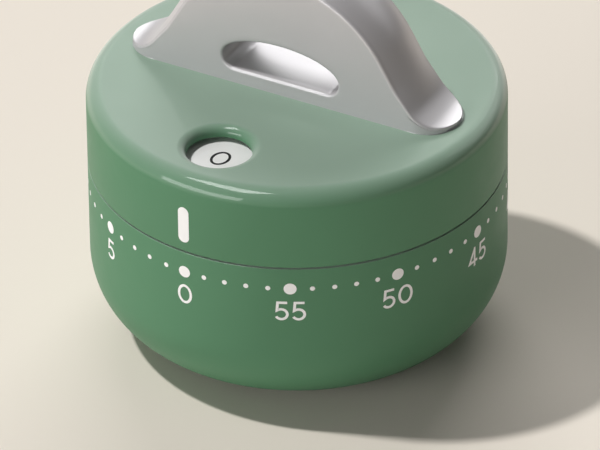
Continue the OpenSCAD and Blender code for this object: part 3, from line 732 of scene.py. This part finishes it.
def disc(bm, radius, rings=3, segments=32):
    """A flat disc with a few rings, so that it can bend round a side."""
    made = list(bmesh.ops.create_circle(bm, cap_ends=True, cap_tris=True, segments=segments,
                                        radius=radius / rings)["verts"])
    inner = [v for v in made if hypot(v.co.x, v.co.y) > 0.5 * radius / rings]
    edges = [e for e in {e for v in inner for e in v.link_edges} if all(v in inner for v in e.verts)]
    for ring in range(2, rings + 1):
        grown = bmesh.ops.extrude_edge_only(bm, edges=edges)["geom"]
        verts = [g for g in grown if isinstance(g, bmesh.types.BMVert)]
        edges = [g for g in grown if isinstance(g, bmesh.types.BMEdge)]
        for v in verts:
            v.co *= ring / (ring - 1)
        made += verts
        edges = [e for e in edges if all(v in verts for v in e.verts)]
    return made


def curve(centre, radii, start, end, steps):
    """Points of an ellipse's arc, angles in degrees."""
    angles = [radians(start + (end - start) * i / steps) for i in range(steps + 1)]
    return [(centre[0] + radii[0] * cos(a), centre[1] + radii[1] * sin(a)) for a in angles]


def run(points, step=0.12):
    """Straight runs between points, cut into short steps so that they can bend."""
    path = [points[0]]
    for a, b in zip(points, points[1:]):
        count = max(1, round(hypot(b[0] - a[0], b[1] - a[1]) / step))
        shares = [i / count for i in range(1, count + 1)]
        path += [(a[0] + (b[0] - a[0]) * share, a[1] + (b[1] - a[1]) * share) for share in shares]
    return path


# %% [markdown]
# A figure is drawn in a box one unit tall, with its middle line half a stroke inside. Only the
# figures from 0 to 5 are needed for the fives of an hour.

# %% The figures
stroke = 0.125
tall, half = 1 - stroke, stroke / 2
figure_w = {"0": 0.74, "1": 0.34, "2": 0.62, "3": 0.62, "4": 0.68, "5": 0.62}


def figure_strokes(mark):
    """The strokes of one figure as (path, closed), in a box one unit tall."""
    w = figure_w[mark] - stroke
    if mark == "0":
        return [(curve((w / 2, 0.5), (w / 2, tall / 2), 0, 360 - 360 / 48, 47), True)]
    if mark == "1":
        return [(run([(0.0, 0.80), (w, 1 - half), (w, 0.0)]), False)]
    if mark == "2":
        bowl = curve((w / 2, 0.70), (w / 2, 0.30 - half), 165, -25, 20)
        foot = run([bowl[-1], (0.0, half)])[1:] + run([(0.0, half), (w + half / 2, half)])[1:]
        return [(bowl + foot, False)]
    if mark == "3":
        upper = curve((w / 2 - 0.01, 0.745), (w / 2 - 0.02, 0.255 - half), 160, -90, 20)
        lower = curve((w / 2 - 0.01, 0.27), (w / 2, 0.27 - half), 90, -155, 22)
        return [(upper[:-1] + [(w / 2 - 0.01, 0.505)] + lower[1:], False)]
    if mark == "4":
        post, bar = w * 0.72, 0.26
        slope = run([(w + half, bar), (0.0, bar), (post, 1 - half), (post, 0.9 - half)])[:-1]
        return [(slope, False), (run([(post, 1.0), (post, 0.0)]), False)]
    bowl = curve((w / 2 - 0.02, 0.325), (w / 2 + 0.02, 0.325 - half), 118, -150, 26)
    return [(run([(w, 1 - half), (0.07, 1 - half), (0.035, 0.52)]) + bowl, False)]


def write(bm, text, height, gap=0.15, weight=stroke):
    """Writes figures flat about the origin; returns their vertices."""
    width = sum(figure_w[mark] for mark in text) + gap * (len(text) - 1)
    x = -width / 2 + half
    made = []
    for mark in text:
        for path, closed in figure_strokes(mark):
            line = [((x + px) * height, (py - 0.5) * height) for px, py in path]
            made += ribbon(bm, line, weight * height, closed)
        x += figure_w[mark] + gap
    return made


def wrap(verts, radius, angle, height):
    """Bends flat print round the body: x runs along the side, y up."""
    for vert in verts:
        turn_to = angle + vert.co.x / radius
        vert.co = (radius * cos(turn_to), radius * sin(turn_to), height + vert.co.y)


def lay(verts, angle, reach, height):
    """Lays flat print on a level face, its top towards the middle."""
    place = Matrix.Rotation(angle + pi / 2, 4, "Z") @ Matrix.Translation((0, -reach, height))
    for vert in verts:
        vert.co = place @ vert.co


# %% [markdown]
# The scale runs clockwise seen from above, with a dot for each minute and a bigger one with a
# figure for every fifth.

# %% Print the scale on the base
minute_r, five_r = 0.435 * mm, 1.1 * mm
figure_h = 3.8 * mm
figure_z = base_z + 23.0 * mm
front = -pi / 2


def minute_angle(minute):
    return front - radians(6 * minute)


def print_piece(name, bm, material, body, away_from):
    """Turns the print's faces outwards and thickens it into a film."""
    bmesh.ops.remove_doubles(bm, verts=bm.verts, dist=1e-7)
    for face in bm.faces:
        face.normal_update()
        centre = face.calc_center_median()
        outward = Vector((centre.x, centre.y, 0)) if away_from == "axis" else Vector((0, 0, 1))
        if face.normal.dot(outward) < 0:
            face.normal_flip()
    bmesh.ops.solidify(bm, geom=bm.faces[:], thickness=ink_t)
    finish_piece(name, bm, material, body)


scale = bmesh.new()
print_r = body_r + ink_t
for minute in range(60):
    big = minute % 5 == 0
    wrap(disc(scale, five_r if big else minute_r), print_r, minute_angle(minute), scale_z)
    if big:
        wrap(write(scale, str(minute), figure_h), print_r, minute_angle(minute), figure_z)
print_piece("minute_scale", scale, white_ink, "base", "axis")

# %% [markdown]
# The index is a bar with round ends on the cap's side. The dial under the window carries the same
# fives, with their tops towards the middle, so the window always shows the time that is left.

# %% Print the index and the dial
index_w, index_l = 2.1 * mm, 7.0 * mm
index_z = base_z + 37.0 * mm

bar = bmesh.new()
length = index_l - index_w
grid = bmesh.ops.create_grid(bar, x_segments=8, y_segments=48, size=1)["verts"]
for vert in grid:
    across, along = vert.co.x, vert.co.y
    if abs(along) <= 0.5:
        vert.co = (across * index_w / 2, along / 0.5 * length / 2, 0)
    else:
        lean = (abs(along) - 0.5) / 0.5 * pi / 2
        end = 1 if along > 0 else -1
        vert.co = (across * index_w / 2 * cos(lean), end * (length / 2 + index_w / 2 * sin(lean)), 0)
wrap(grid, print_r, front, index_z)
print_piece("index_bar", bar, white_ink, "turning_cap", "axis")

dial = bmesh.new()
dial_figure_h, dial_reach = 4.3 * mm, 24.2 * mm
dial_letter_gap, dial_weight, dial_widen = 0.1, 0.1, 1.08
for minute in range(0, 60, 5):
    marks = write(dial, str(minute), dial_figure_h, dial_letter_gap, dial_weight)
    for vert in marks:
        vert.co.x *= dial_widen
    lay(marks, minute_angle(minute), dial_reach, dial_high.z + ink_t)
print_piece("dial_figures", dial, black_ink, "base", "up")

# %% [markdown]
# ## The floor
# The floor is a sheet of pale paper. It is only there to stand on and to take the shadow.

# %% Lay the floor
def floor_finish():
    finish, nodes, links, shader = make_finish("paper", (0.80, 0.735, 0.655), 0.9, specular=0.1)
    fibre = add_noise(nodes, links, 900, 3)
    vary_colour(nodes, links, fibre, (0.797, 0.732, 0.652), (0.803, 0.738, 0.658), shader)
    return finish


sheet = bmesh.new()
bmesh.ops.create_grid(sheet, x_segments=1, y_segments=1, size=12)
floor_mesh = bpy.data.meshes.new("floor")
sheet.to_mesh(floor_mesh)
sheet.free()
floor_mesh.materials.append(floor_finish())
floor = bpy.data.objects.new("floor", floor_mesh)
bpy.context.scene.collection.objects.link(floor)
